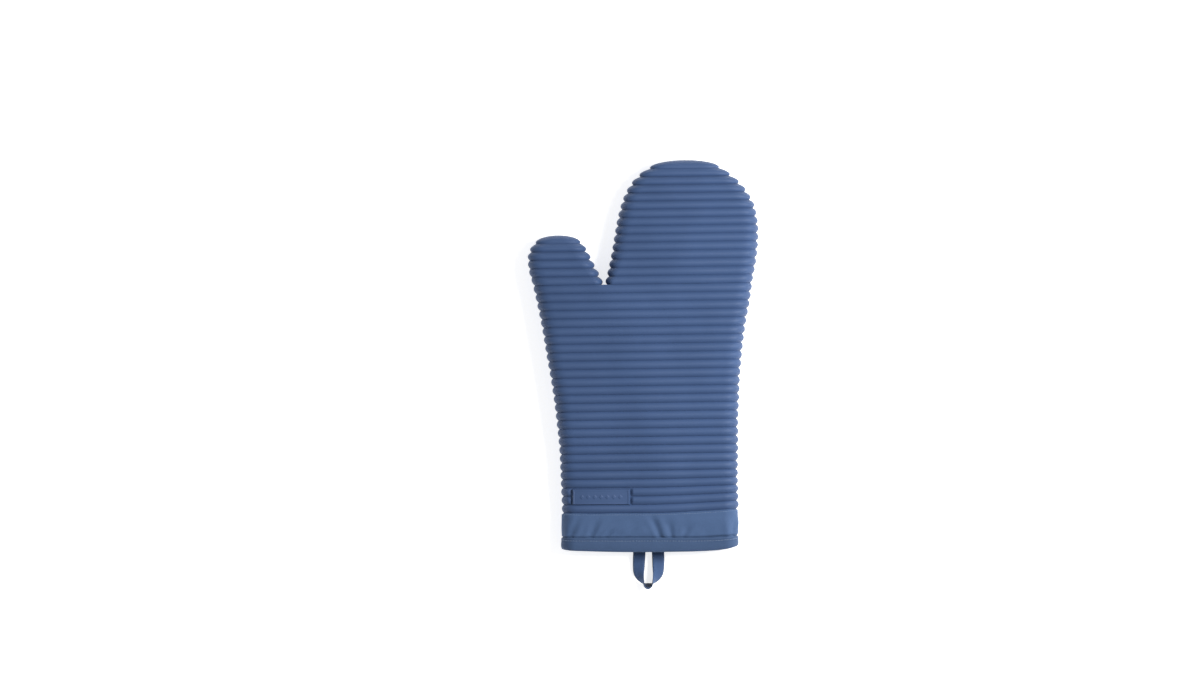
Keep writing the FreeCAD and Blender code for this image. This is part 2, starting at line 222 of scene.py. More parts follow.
SIDE = [(CUFF_LENGTH, 12.0), (100, 13.5), (400, 13.5)]
CROTCH_SIDE = [(CROTCH, 7.0), (CROTCH + 20, 12.5)]
FINGER_GROOVE = CROTCH + FINGER_RIBS * (RIB_PITCH - FINGER_RIBS * RIB_TAPER)
THUMB_GROOVE = CROTCH + THUMB_RIBS * (RIB_PITCH - THUMB_RIBS * RIB_TAPER)
HAND = Pocket(
    left=[(0, -75), (32.4, -75), (57, -75.3), (77, -76.2), (100, -78), (122, -80.2), (143, -83.4),
          (164, -87), (185, -90.6), (206, -95), (CROTCH, -99.2), (232, -101)],
    right=[(0, 75), (77, 74.9), (102, 75), (127, 76), (144, 76.4), (158, 77.6), (181, 80), (195, 81.8),
           (208, 84.3), (CROTCH, 87.0), (232, 88.2)],
    half=[(32.4, 12), (85, 13.6), (140, 15.0), (232, 15.0)],
    middle=[(32.4, 12), (85, 13.6), (140, 15.0), (232, 15.0)],
    round_left=SIDE, round_right=SIDE, seed=11,
)
FINGERS = Pocket(
    left=[(CROTCH, -37.9), (235, -35.9), (250, -32.8), (264, -30.5), (278, -28.0), (291.6, -24.4),
          (298.4, -22.0), (305, -18.9), (312.5, -13.8), (318.8, -7.4), (FINGER_GROOVE, -0.4)],
    right=[(CROTCH, 87.0), (244, 90.3), (257, 91.6), (270.7, 91.9), (284, 90.3), (291, 88.6), (297, 85.8),
           (303.8, 81.6), (310.5, 75.9), (317.3, 68.3), (FINGER_GROOVE, 59.2)],
    half=[(CROTCH, 15.0), (268, 14.6), (291, 13.7), (305, 12.3), (314, 10.8), (FINGER_GROOVE, 8.6)],
    middle=[(CROTCH, 15.0), (268, 14.6), (300, 14.0), (FINGER_GROOVE, 13.2)],
    round_left=CROTCH_SIDE, round_right=SIDE, last_groove=FINGER_GROOVE, tip=FINGER_TIP, seed=23,
)
THUMB = Pocket(
    left=[(CROTCH, -99.2), (234, -101.9), (241, -103.2), (248.3, -103.7), (254.6, -102.2),
          (THUMB_GROOVE, -97.6)],
    right=[(CROTCH, -39.2), (234.3, -43.1), (241, -46.7), (248, -50.2), (254.6, -53.6),
           (THUMB_GROOVE, -58.6)],
    half=[(CROTCH, 15.0), (247, 13.0), (254.6, 11.9), (THUMB_GROOVE, 9.8)],
    middle=[(CROTCH, 15.0), (247, 13.4), (THUMB_GROOVE, 12.6)],
    round_left=SIDE, round_right=CROTCH_SIDE, last_groove=THUMB_GROOVE, tip=THUMB_TIP, seed=37,
)

# ---------------------------------------------------------------- meshes
def grid_faces(rings, around, flip=False, first=0):
    """The faces between rings of points, which follow each other in the list of points."""
    faces = []
    for i in range(rings - 1):
        for j in range(around):
            a, b = first + i * around + j, first + i * around + (j + 1) % around
            face = (a, b, b + around, a + around)
            faces.append(face[::-1] if flip else face)
    return faces


def slab_faces(rows, columns, flip=False):
    """The faces of a grid of points, of a second grid behind it and of the rim between them."""
    back = rows * columns
    faces = []
    for i in range(rows - 1):
        for j in range(columns - 1):
            a = i * columns + j
            b = a + back
            faces += [(a, a + 1, a + columns + 1, a + columns), (b, b + columns, b + columns + 1, b + 1)]
    rim = list(range(columns)) + [i * columns + columns - 1 for i in range(1, rows)]
    rim += [(rows - 1) * columns + j for j in range(columns - 2, -1, -1)]
    rim += [i * columns for i in range(rows - 2, 0, -1)]
    faces += [(b, a, a + back, b + back) for a, b in zip(rim, rim[1:] + rim[:1])]
    return [face[::-1] for face in faces] if flip else faces


def add_mesh(name, points, faces, material, uvs=None, in_frame=False, smooth=True, girth=None):
    """A mesh object from points in millimetres. uvs holds one pair, in millimetres, for each point.

    girth is the distance after which u starts again, for a piece that closes on itself.
    """
    where = np.asarray(points, float) if in_frame else row(points)
    mesh = bpy.data.meshes.new(name)
    mesh.from_pydata(where.tolist(), [], faces)
    mesh.validate()
    if uvs is not None:
        layer = mesh.uv_layers.new(name="UVMap")
        corner = np.zeros(len(mesh.loops), np.int32)
        mesh.loops.foreach_get("vertex_index", corner)
        uv = np.asarray(uvs, np.float32)[corner]
        if girth is not None:
            first, count = (np.zeros(len(mesh.polygons), np.int32) for _ in range(2))
            mesh.polygons.foreach_get("loop_start", first)
            mesh.polygons.foreach_get("loop_total", count)
            highest = np.repeat(np.maximum.reduceat(uv[:, 0], first), count)
            uv[:, 0] += girth * (highest - uv[:, 0] > girth / 2)
        layer.data.foreach_set("uv", uv.ravel())
    mesh.polygons.foreach_set("use_smooth", [smooth] * len(mesh.polygons))
    mesh.materials.append(material)
    piece = bpy.data.objects.new(name, mesh)
    bpy.context.scene.collection.objects.link(piece)
    return piece


def ring_uvs(rings):
    """Distance round the ring, from one ring in the middle, and distance along the mitt."""
    middle = rings[len(rings) // 2]
    steps = np.linalg.norm(np.roll(middle, -1, axis=0) - middle, axis=1)
    round_it = np.concatenate([[0], np.cumsum(steps)[:-1]])
    u = np.broadcast_to(round_it, rings.shape[:2])
    return np.stack([u, rings[..., 1]], axis=2).reshape(-1, 2)


def crease(piece, around, rings):
    """Marks the edges along some of a piece's rings as sharp, so that the bottoms of grooves stay dark."""
    mesh = piece.data
    ends = np.zeros(len(mesh.edges) * 2, np.int32)
    mesh.edges.foreach_get("vertices", ends)
    first, second = ends.reshape(-1, 2).T // around
    mesh.edges.foreach_set("use_edge_sharp", (first == second) & np.isin(first, rings))


def wall_mesh(name, outer, inner, material, tipped=False):
    """A closed wall between two sleeves, open at the start, and at the end open too or closed to a point."""
    m, n = outer.shape[:2]
    k = inner.shape[0]
    faces = grid_faces(m, n) + grid_faces(k, n, flip=True, first=m * n)
    low, high = (m - 1) * n, (m + k - 1) * n
    out_tip, in_tip = (m + k) * n, (m + k) * n + 1
    for j in range(n):
        b = (j + 1) % n
        faces.append((b, j, m * n + j, m * n + b))
        if tipped:
            faces += [(low + j, low + b, out_tip), (high + b, high + j, in_tip)]
        else:
            faces.append((low + j, low + b, high + b, high + j))
    points, uvs = [outer.reshape(-1, 3), inner.reshape(-1, 3)], [ring_uvs(outer), ring_uvs(inner)]
    if tipped:
        tips = np.array([outer[-1].mean(axis=0), inner[-1].mean(axis=0)])
        points.append(tips)
        uvs.append(tips[:, :2])
    return add_mesh(name, np.concatenate(points), faces, material, np.concatenate(uvs))


# ---------------------------------------------------------------- materials
def principled(name, colour, roughness, **sockets):
    material = bpy.data.materials.new(name)
    material.use_nodes = True
    shader = material.node_tree.nodes["Principled BSDF"]
    shader.inputs["Base Color"].default_value = (*colour, 1)
    shader.inputs["Roughness"].default_value = roughness
    for socket, value in sockets.items():
        shader.inputs[socket.replace("_", " ")].default_value = value
    return material, material.node_tree, shader


def node(tree, kind, **values):
    """A new node, with values for its inputs or its own settings."""
    made = tree.nodes.new(kind)
    for name, value in values.items():
        if name in made.inputs:
            made.inputs[name].default_value = value
        else:
            setattr(made, name, value)
    return made


def noise_of(tree, vector, scale, detail=3.0, roughness=0.55):
    made = node(tree, "ShaderNodeTexNoise", Scale=scale, Detail=detail, Roughness=roughness)
    tree.links.new(vector, made.inputs["Vector"])
    return made.outputs["Fac"]


def mixed(tree, factor, a, b):
    """A colour between a and b, either of which may be another node's colour."""
    made = node(tree, "ShaderNodeMix", data_type="RGBA")
    tree.links.new(factor, made.inputs["Factor"])
    for value, socket in ((a, made.inputs[6]), (b, made.inputs[7])):
        if isinstance(value, tuple):
            socket.default_value = (*value, 1)
        else:
            tree.links.new(value, socket)
    return made.outputs[2]


def mapped(tree, value, low, high, to_low, to_high):
    """An output moved from the range low to high into the range to_low to to_high, and kept inside it."""
    made = node(tree, "ShaderNodeMapRange")
    for name, number in (("From Min", low), ("From Max", high), ("To Min", to_low), ("To Max", to_high)):
        made.inputs[name].default_value = number
    tree.links.new(value, made.inputs["Value"])
    return made.outputs["Result"]


def summed(tree, *terms):
    """Adds (output, factor) pairs."""
    total = None
    for output, factor in terms:
        step = node(tree, "ShaderNodeMath", operation="MULTIPLY_ADD")
        tree.links.new(output, step.inputs[0])
        step.inputs[1].default_value = factor
        if total is None:
            step.inputs[2].default_value = 0.0
        else:
            tree.links.new(total, step.inputs[2])
        total = step.outputs[0]
    return total


def bump(tree, shader, height, strength, distance):
    made = node(tree, "ShaderNodeBump", Strength=strength, Distance=distance)
    tree.links.new(height, made.inputs["Height"])
    tree.links.new(made.outputs["Normal"], shader.inputs["Normal"])


def shade(colour, factor):
    return tuple(c * factor for c in colour)


SILICONE = (0.041, 0.080, 0.184)
TWILL = (0.056, 0.103, 0.212)
TAPE = (0.050, 0.094, 0.208)
THREAD = (0.145, 0.220, 0.370)
LINING = (0.300, 0.335, 0.400)
WADDING = (0.78, 0.77, 0.73)


def silicone_material():
    material, tree, shader = principled(
        "silicone_satin", SILICONE, 0.6, Sheen_Weight=0.05, Sheen_Roughness=0.5, Specular_IOR_Level=0.35)
    place = node(tree, "ShaderNodeTexCoord").outputs["Object"]
    broad, fine = noise_of(tree, place, 26), noise_of(tree, place, 520, 4)
    colour = mixed(tree, mapped(tree, broad, 0.3, 0.7, 0, 1), shade(SILICONE, 0.95), shade(SILICONE, 1.05))
    dust = mapped(tree, noise_of(tree, place, 140, 6, 0.7), 0.58, 0.8, 0, 0.16)
    colour = mixed(tree, dust, colour, shade(SILICONE, 1.5))
    tree.links.new(colour, shader.inputs["Base Color"])
    tree.links.new(mapped(tree, broad, 0.25, 0.75, 0.55, 0.66), shader.inputs["Roughness"])
    bump(tree, shader, summed(tree, (fine, 0.7), (noise_of(tree, place, 1900, 2), 0.3)), 0.22, 0.00012)
    return material


def woven_material(name, colour, pitch, angle, painted_fold_shade=False):
    """Diagonal twill from the UV map, which is in millimetres: yarns across the slant, and fibres over them.

    The last argument paints shade into the cloth's colour inside its folds, where ambient occlusion finds
    the cloth hidden.
    """
    roughness = 0.7
    material, tree, shader = principled(
        name, colour, roughness, Sheen_Weight=0.2, Sheen_Roughness=0.45, Sheen_Tint=(0.55, 0.68, 0.9, 1),
        Specular_IOR_Level=0.25)
    uv = node(tree, "ShaderNodeTexCoord").outputs["UV"]
    turned = []
    for turn in (angle, angle + math.radians(62)):
        mapping = node(tree, "ShaderNodeMapping")
        mapping.inputs["Rotation"].default_value = (0, 0, turn)
        tree.links.new(uv, mapping.inputs["Vector"])
        turned.append(mapping.outputs["Vector"])
    slant = node(tree, "ShaderNodeTexWave", Scale=0.314 / pitch, Distortion=1.1, Detail=2.0)
    slant.inputs["Detail Scale"].default_value = 2.2
    yarn = node(tree, "ShaderNodeTexWave", Scale=0.314 / (pitch * 0.62), Distortion=0.8, Detail=1.0)
    tree.links.new(turned[0], slant.inputs["Vector"])
    tree.links.new(turned[1], yarn.inputs["Vector"])
    slub = noise_of(tree, uv, 0.55, 4, 0.6)
    fibre = noise_of(tree, uv, 7.5, 5, 0.7)
    tone = mixed(tree, slant.outputs["Fac"], shade(colour, 0.86), shade(colour, 1.12))
    tone = mixed(tree, mapped(tree, fibre, 0.35, 0.75, 0, 0.5), tone, shade(colour, 1.3))
    tone = mixed(tree, mapped(tree, slub, 0.3, 0.7, 0, 0.4), tone, shade(colour, 0.88))
    if painted_fold_shade:
        # Painted shade: the colour darkens nearly to black where the cloth is occluded, as inside the loop's
        # fold.
        openness = node(tree, "ShaderNodeAmbientOcclusion", Distance=0.008).outputs["AO"]
        tone = mixed(tree, mapped(tree, openness, 0.7, 0.9, 0, 1), shade(colour, 0.12), tone)
    tree.links.new(tone, shader.inputs["Base Color"])
    uneven = mapped(tree, fibre, 0.2, 0.8, roughness - 0.07, roughness + 0.08)
    tree.links.new(uneven, shader.inputs["Roughness"])
    height = summed(tree, (slant.outputs["Fac"], 0.55), (yarn.outputs["Fac"], 0.25), (fibre, 0.35))
    bump(tree, shader, height, 0.5, 0.00022)
    return material


def thread_material():
    material, tree, shader = principled("sewing_thread", THREAD, 0.55, Sheen_Weight=0.3)
    place = node(tree, "ShaderNodeTexCoord").outputs["Object"]
    ply = node(tree, "ShaderNodeTexWave", Scale=340.0, Distortion=0.6, bands_direction="DIAGONAL")
    tree.links.new(place, ply.inputs["Vector"])
    tone = mixed(tree, ply.outputs["Fac"], shade(THREAD, 0.75), shade(THREAD, 1.15))
    tree.links.new(tone, shader.inputs["Base Color"])
    bump(tree, shader, ply.outputs["Fac"], 0.4, 0.0001)
    return material


def fleecy_material(name, colour, scale, depth):
    material, tree, shader = principled(name, colour, 0.9, Sheen_Weight=0.5, Sheen_Roughness=0.6)
    place = node(tree, "ShaderNodeTexCoord").outputs["Object"]
    tuft, fibre = noise_of(tree, place, scale, 5, 0.7), noise_of(tree, place, scale * 4, 3)
    broad = noise_of(tree, place, 45)
    tone = mixed(tree, mapped(tree, tuft, 0.3, 0.7, 0, 1), shade(colour, 0.82), shade(colour, 1.1))
    tone = mixed(tree, mapped(tree, broad, 0.35, 0.7, 0, 0.3), tone, shade(colour, 0.85))
    tree.links.new(tone, shader.inputs["Base Color"])
    bump(tree, shader, summed(tree, (tuft, 0.7), (fibre, 0.3)), 0.6, depth)
    return material


silicone = silicone_material()
twill = woven_material("cotton_twill", TWILL, 0.62, math.radians(40))
# The binding's twill is the band's colour, a fifth darker.
binding_twill = woven_material("cotton_twill_bias", shade(TWILL, 0.80), 0.62, math.radians(52))
# The tape's twill has painted shade in its folds.
tape_twill = woven_material("twill_tape_weave", TAPE, 0.5, math.radians(90), painted_fold_shade=True)
thread = thread_material()
lining_cloth = fleecy_material("brushed_cotton", LINING, 900, 0.0003)
wadding_fibre = fleecy_material("polyester_wadding", WADDING, 300, 0.0008)

# ---------------------------------------------------------------- silicone shell
RIB_SAMPLES = 12
HAND_POINTS = 150          # points along each flat face of the hand's rings
FOLDING_POINTS = 70        # and of the fingers' and the thumb's
FLANGE_START = CUFF_LENGTH - 8.0
SHELL_INSIDE = WALL + 0.2


def rib_rise(share):
    """The height of a rib, 0 to 1, at a share of the way across it: a round crest and an open valley."""
    return np.sin(math.pi * share) ** 0.82


def rib_rings(grooves):
    """(y, y that the outline is taken from, inset) for the rings of a stack of ribs, groove to groove."""
    share = 0.5 - 0.5 * np.cos(np.linspace(0, math.pi, RIB_SAMPLES + 1))[:-1]
    rise = rib_rise(share)
    y, shape_y, inset = [], [], []
    for low, high in zip(grooves, grooves[1:]):
        y.append(low + (high - low) * share)
        shape_y.append(low + (high - low) * share**RIB_STEP)
        inset.append(RIB_HEIGHT * (1 - rise))
    return [np.concatenate(a) for a in (y, shape_y, inset)]


def folding_grooves(count):
    return [CROTCH + i * (RIB_PITCH - i * RIB_TAPER) for i in range(count + 1)]


PLATE = {"left": -65.6, "right": -17.0, "low": 39.6, "high": 52.9}
GROOVE = 1.15              # width of the gap between the plate's ends and the ribs
LOZENGES = 7
LOZENGE_STEP = 5.4
LOZENGE_REACH = 2.0


def around_plate(points, inset_now):
    """Sinks the two ribs under the name plate to groove level, and rounds off their ends beside it."""
    x, y, z = points[..., 0], points[..., 1], points[..., 2]
    off_end = np.maximum(PLATE["left"] - GROOVE - x, x - PLATE["right"] - GROOVE)
    under = 1 - np.sqrt(np.clip(off_end / 1.5, 0, 1))
    rows = ((y > PLATE["low"] - 0.1) & (y < PLATE["high"] + 0.9)).astype(float)
    palm = ease(14, 18, z)
    points[..., 2] = z - under * rows * palm * (RIB_HEIGHT + 0.2 - inset_now[:, None])
    return points


grooves = [CUFF_LENGTH + i * RIB_PITCH for i in range(HAND_RIBS + 1)]
y, shape_y, inset = rib_rings(grooves)
y, inset = np.append(y, CROTCH), np.append(inset, RIB_HEIGHT)
flange_y = [FLANGE_START, CUFF_LENGTH - 6.0, CUFF_LENGTH - 3.0, CUFF_LENGTH - 0.4]
flange = len(flange_y)
outer = HAND.rings(
    np.append(flange_y, y), np.append(np.full(flange, RIB_HEIGHT + 0.3), inset), top=HAND_POINTS)
outer = around_plate(outer, np.append(np.full(flange, RIB_HEIGHT), inset))
inner = HAND.rings(np.linspace(FLANGE_START, CROTCH, 90), SHELL_INSIDE, top=HAND_POINTS)
shell_hand = wall_mesh("shell_hand_skin", drawn(outer), drawn(inner), silicone)
crease(shell_hand, outer.shape[1], flange + RIB_SAMPLES * np.arange(HAND_RIBS))


def folding_shell(name, pocket, count):
    """The ribbed skin of a pocket that folds, with its smooth rounded end past the last groove."""
    y, shape_y, inset = rib_rings(folding_grooves(count))
    turn = np.linspace(0, math.pi / 2, 16)[:-1]
    cap_y = pocket.last_groove + (pocket.tip - pocket.last_groove) * np.sin(turn)
    rise = np.clip((cap_y - pocket.last_groove) / 2.6, 0, 1)
    cap_inset = RIB_HEIGHT * (1 - (1 - (1 - rise) ** 2.3) ** 0.62)
    y, shape_y = np.append(y, cap_y), np.append(shape_y, cap_y)
    inset = np.append(inset, cap_inset) * (1 - 0.5 * np.exp(-(((y - pocket.last_groove) / 2.2) ** 2)))
    outer = pocket.rings(y, inset, shape_y, top=FOLDING_POINTS)
    inside_y = np.append(
        np.linspace(CROTCH, pocket.last_groove, 40)[:-1],
        pocket.last_groove + (pocket.tip - WALL - pocket.last_groove) * np.sin(turn))
    inner = pocket.rings(inside_y, SHELL_INSIDE, top=FOLDING_POINTS)
    shell = wall_mesh(name, drawn(outer), drawn(inner), silicone, tipped=True)
    crease(shell, outer.shape[1], RIB_SAMPLES * np.arange(count))
    return shell


shell_fingers = folding_shell("shell_fingers_skin", FINGERS, FINGER_RIBS)
shell_thumb = folding_shell("shell_thumb_skin", THUMB, THUMB_RIBS)


def crotch_web():
    """The strip of wall that closes the hand in the crotch, between the two pockets."""
    thickness = 1.4
    xs = np.linspace(-46.5, -30.5, 9)
    zs = np.linspace(WALL - 0.4, 2 * MID_HEIGHT - WALL + 0.4, 12)
    points = [(x, CROTCH - 0.15 - back, z) for back in (0.0, thickness) for z in zs for x in xs]
    return add_mesh("shell_crotch_web", drawn(points), slab_faces(len(zs), len(xs), flip=True), silicone)


shell_web = crotch_web()


def name_plate():
    """A raised plate with a fine rim and a plain row of lozenges."""
    step = 0.3
    xs = np.arange(PLATE["left"], PLATE["right"] + step / 2, step)
    ys = np.arange(PLATE["low"], PLATE["high"] + step / 2, step)
    x, y = np.meshgrid(xs, ys)
    base = HAND.rings(ys, 0.0, top=HAND_POINTS)
    z = np.empty_like(x)
    for i, ring in enumerate(base):
        palm = np.concatenate([ring[-12:], ring[: HAND_POINTS + 4]])
        palm = palm[np.argsort(palm[:, 0])]
        z[i] = np.interp(x[i], palm[:, 0], palm[:, 2])
    edge = np.minimum.reduce([x - xs[0], xs[-1] - x, y - ys[0], ys[-1] - y])
    end = np.minimum(x - xs[0], xs[-1] - x)
    z = z - 0.15 - 0.9 * (1 - ease(0, 0.75, edge)) ** 1.5
    z = z + 0.28 * np.exp(-(((end - 1.1) / 0.5) ** 2)) * ease(0.3, 0.9, edge)
    z = z + 0.18 * np.exp(-(((edge - 1.0) / 0.4) ** 2))
    middle_y = (ys[0] + ys[-1]) / 2
    for i in range(LOZENGES):
        centre = (xs[0] + xs[-1]) / 2 + (i - LOZENGES // 2) * LOZENGE_STEP
        lozenge = 1 - np.abs(x - centre) / LOZENGE_REACH - np.abs(y - middle_y) / LOZENGE_REACH
        z = z + 0.3 * ease(0.0, 0.35, lozenge)
    top = np.stack([x, y, z], axis=2).reshape(-1, 3)
    under = top.copy()
    under[:, 2] = z.min() - 1.0
    return add_mesh("name_plate_blank", drawn(np.concatenate([top, under])), slab_faces(*x.shape), silicone)


plate = name_plate()

# ---------------------------------------------------------------- cuff
BAND_THICKNESS = 0.8
RADIUS = CUFF_HALF_HEIGHT
STRAIGHT = CUFF_HALF_WIDTH - RADIUS
ROUND = math.pi * RADIUS
GIRTH = 4 * STRAIGHT + 2 * ROUND


def cuff_path(s):
    """Points (x, z) and outward normals at distances s round the cuff, from its top left corner."""
    s = np.mod(np.asarray(s, float), GIRTH)
    x, z, nx, nz = (np.zeros_like(s) for _ in range(4))
    a = s < 2 * STRAIGHT
    x[a], z[a], nz[a] = -STRAIGHT + s[a], 2 * RADIUS, 1
    b = (s >= 2 * STRAIGHT) & (s < 2 * STRAIGHT + ROUND)
    t = (s[b] - 2 * STRAIGHT) / RADIUS
    nx[b], nz[b] = np.sin(t), np.cos(t)
    x[b], z[b] = STRAIGHT + RADIUS * nx[b], RADIUS + RADIUS * nz[b]
    c = (s >= 2 * STRAIGHT + ROUND) & (s < 4 * STRAIGHT + ROUND)
    x[c], z[c], nz[c] = STRAIGHT - (s[c] - 2 * STRAIGHT - ROUND), 0, -1
    d = s >= 4 * STRAIGHT + ROUND
    t = (s[d] - 4 * STRAIGHT - ROUND) / RADIUS
    nx[d], nz[d] = -np.sin(t), -np.cos(t)
    x[d], z[d] = -STRAIGHT + RADIUS * nx[d], RADIUS + RADIUS * nz[d]
    return x, z, nx, nz


def cuff_points(s, y, inset):
    """Points at distance s round the cuff, height y above the hem and inset below its surface."""
    x, z, nx, nz = cuff_path(s)
    return drawn(np.stack([x - nx * inset, np.broadcast_to(y, x.shape), z - nz * inset], axis=-1))


# Each pucker: x where it meets the binding, x at its upper end, height of that end, depth, width.
PUCKERS = [
    (-67.5, -60.5, 30, 1.0, 2.6), (-50.5, -44.0, 28, 0.9, 2.4), (-37.5, -31.0, 19, 0.7, 2.0),
    (9.0, 1.5, 31, 1.1, 2.3), (18.5, 16.0, 24, 0.7, 1.9), (28.0, 33.0, 21, 0.7, 2.2),
    (-20.0, -12.0, 20, 0.35, 3.0), (47.0, 50.0, 18, 0.25, 3.0),
]


def pucker_depth(s, y):
    """How far the band's cloth dips at distance s round the cuff; the back has puckers of its own."""
    rng = random.Random(5)
    dips = [(a + STRAIGHT, b + STRAIGHT, top, depth, width) for a, b, top, depth, width in PUCKERS]
    at = 2 * STRAIGHT + 8
    while at < GIRTH - 12:
        lean = rng.uniform(-6, 6)
        dips.append((at, at + lean, rng.uniform(16, 30), rng.uniform(0.3, 1.0), rng.uniform(1.8, 3.0)))
        at += rng.uniform(11, 24)
    total = np.zeros(np.broadcast(s, y).shape)
    for low, high, top, depth, width in dips:
        u = np.clip((y - BINDING_TOP) / (top - BINDING_TOP), 0, 1.3)
        line = low + (high - low) * u
        spread = width * (1 + 0.5 * u)
        t = (s - line) / spread
        fade = (1 - ease(0.55, 1.15, u)) * ease(BINDING_TOP - 3, BINDING_TOP + 0.5, y)
        beside = 0.45 * np.exp(-((t - 1.7) ** 2)) + 0.45 * np.exp(-((t + 1.7) ** 2))
        total = total + depth * fade * (np.exp(-t * t) - beside)
    return total


AROUND = 360
around_s = np.linspace(0, GIRTH, AROUND, endpoint=False) - ROUND / 2


def strip_mesh(name, profile, material, dip, deepest=None):
    """A closed strip of cloth swept round the cuff. profile holds its (height above the hem, inset).

    deepest limits the inset of the outside of a strip whose profile goes up outside and back down inside.
    """
    profile = np.array(profile, float)
    run = np.concatenate([[0], np.cumsum(np.linalg.norm(np.diff(profile, axis=0), axis=1))])
    s, y = np.meshgrid(around_s, profile[:, 0], indexing="ij")
    inset = np.broadcast_to(profile[:, 1], s.shape) + dip(s, y)
    if deepest is not None:
        outside = np.minimum(inset[:, : len(profile) // 2], deepest)
        inset = np.concatenate([outside, outside[:, ::-1] + BAND_THICKNESS], axis=1)
    points = cuff_points(s, y, inset)
    n, k = points.shape[:2]
    faces = []
    for i in range(n):
        a, b = i * k, (i + 1) % n * k
        for j in range(k):
            c = (j + 1) % k
            faces.append((a + j, a + c, b + c, b + j))
    u = np.broadcast_to(around_s[:, None], s.shape)
    v = np.broadcast_to(run, s.shape)
    uvs = np.stack([u, v], axis=2).reshape(-1, 2)
    return add_mesh(name, points.reshape(-1, 3), faces, material, uvs, girth=GIRTH)


def band_profile():
    """The band's outside from the binding up to where it turns under the shell, then back down inside."""
    heights = np.concatenate([
        [4.0, 6.0, 8.0, 9.4], np.linspace(10.2, 13.4, 9), np.linspace(14.2, 30.4, 21),
        [31.2, 31.8, 32.2, 32.5]])
    outside = []
    for height in heights:
        t = (height - BINDING_TOP) / (CUFF_LENGTH - BINDING_TOP)
        puff = 0.45 * math.sin(math.pi * min(max(t, 0), 1)) ** 0.6
        tuck = 1.5 * float(ease(30.9, 32.5, height))
        under = 0.95 * (1 - float(ease(10.9, 12.8, height)))
        outside.append((height, 0.55 - puff + tuck + under))
    inside = [(h, d + BAND_THICKNESS) for h, d in outside[::-1]]
    return outside + inside


def right_end(s):
    """1 near the right end of the palm side, where the binding's edge stands away from the band."""
    at = 2 * STRAIGHT
    return ease(at - 24, at - 5, s) * (1 - ease(at + 4, at + 16, s))


def band_dip(s, y):
    """How far the band dips: its puckers, its unevenness, and the gap below the binding at its right end."""
    cloth = 0.26 * waves(s, y, 3, 15) * ease(BINDING_TOP, BINDING_TOP + 5, y) * (1 - ease(26, 31, y))
    gap = 0.6 * right_end(s) * (1 - ease(BINDING_TOP + 0.7, BINDING_TOP + 2.6, y))
    return pucker_depth(s, y) - cloth + gap


STITCH_ROW = 8.4
STITCH_PITCH = GIRTH / 136


def binding_dip(s, y):
    """The binding is pressed in along its stitches, wavers between them, and lifts at its right end."""
    ripple = 0.16 * np.sin(2 * math.pi * s / STITCH_PITCH) * np.exp(-((y - STITCH_ROW) ** 2))
    soft = 0.14 * waves(s, y, 9, 16)
    return ripple + soft - 0.75 * right_end(s) * ease(6, 9, y)


# From the binding's upper edge down its outside, round the hem and up inside, then back along its underside.
BINDING_PROFILE = [
    (10.8, 0.75), (10.85, 0.45), (10.6, 0.15), (10.0, 0.02), (9.3, 0.02), (8.8, 0.20), (8.4, 0.30),
    (8.0, 0.20), (7.4, 0.0), (6.2, -0.15), (4.6, -0.2), (3.0, -0.12), (1.6, 0.1), (0.7, 0.5), (0.15, 1.15),
    (0.0, 2.0), (0.15, 2.85), (0.7, 3.5), (1.6, 3.9), (3.4, 4.1), (6.2, 4.15), (8.4, 4.0),
    (10.0, 4.1), (10.4, 3.95),
    (10.4, 3.5), (8.4, 3.25), (6.2, 3.35), (3.4, 3.3), (1.9, 3.1), (1.1, 2.6), (0.9, 2.0), (1.1, 1.5),
    (1.9, 1.0), (3.2, 0.72), (4.8, 0.65), (6.4, 0.7), (8.4, 1.1), (9.8, 0.85),
]
band = strip_mesh("cuff_band_cloth", band_profile(), twill, band_dip, deepest=1.9)
binding = strip_mesh("hem_binding_cloth", BINDING_PROFILE, binding_twill, binding_dip)


def stitch_mesh(name, stitches, radius):
    """Short threads, each (start, end, outward direction). Their ends go into the cloth."""
    points, faces = [], []
    sides, parts = 6, 6
    for start, end, out in stitches:
        start, end, out = (np.array(v, float) for v in (start, end, out))
        along = end - start
        length = np.linalg.norm(along)
        along = along / length
        across = np.cross(along, out)
        across = across / np.linalg.norm(across)
        up = np.cross(across, along)
        first = len(points)
        for i in range(parts + 1):
            t = i / parts
            lift = math.sin(math.pi * t) ** 0.5
            centre = start + along * length * t + out * radius * (1.5 * lift - 0.9)
            size = radius * (0.55 + 0.45 * lift)
            for j in range(sides):
                a = 2 * math.pi * j / sides
                points.append(centre + size * (math.cos(a) * across + math.sin(a) * up))
        for i in range(parts):
            for j in range(sides):
                a, b = first + i * sides + j, first + i * sides + (j + 1) % sides
                faces.append((a, a + sides, b + sides, b))
        last = first + parts * sides
        faces.append(tuple(first + j for j in range(sides)))
        faces.append(tuple(last + j for j in range(sides - 1, -1, -1)))
    return add_mesh(name, points, faces, thread)


def cuff_stitches(row_y, inset, pitch, length, slant, dip, seed):
    """A row of stitches round the cuff, on cloth that dips as dip says."""
    rng = random.Random(seed)
    stitches = []
    for i in range(round(GIRTH / pitch)):
        s0 = i * pitch + rng.uniform(-0.05, 0.05) * pitch
        ends = []
        for s, y in ((s0, row_y - slant / 2), (s0 + length, row_y + slant / 2)):
            s, y = np.array([s]), np.array([y])
            ends.append(cuff_points(s, y, inset + dip(s, y))[0])
        _, _, nx, nz = cuff_path(np.array([s0 + length / 2]))
        stitches.append((ends[0], ends[1], (nx[0], 0, nz[0])))
    return stitches


hem_row = cuff_stitches(STITCH_ROW, 0.18, STITCH_PITCH, 1.55, 0.12, binding_dip, 1)
hem_stitches = stitch_mesh("hem_stitches", hem_row, 0.29)
top_row = cuff_stitches(31.0, 0.42, GIRTH / 150, 1.3, 0.0, band_dip, 2)
band_stitches = stitch_mesh("band_stitches", top_row, 0.17)

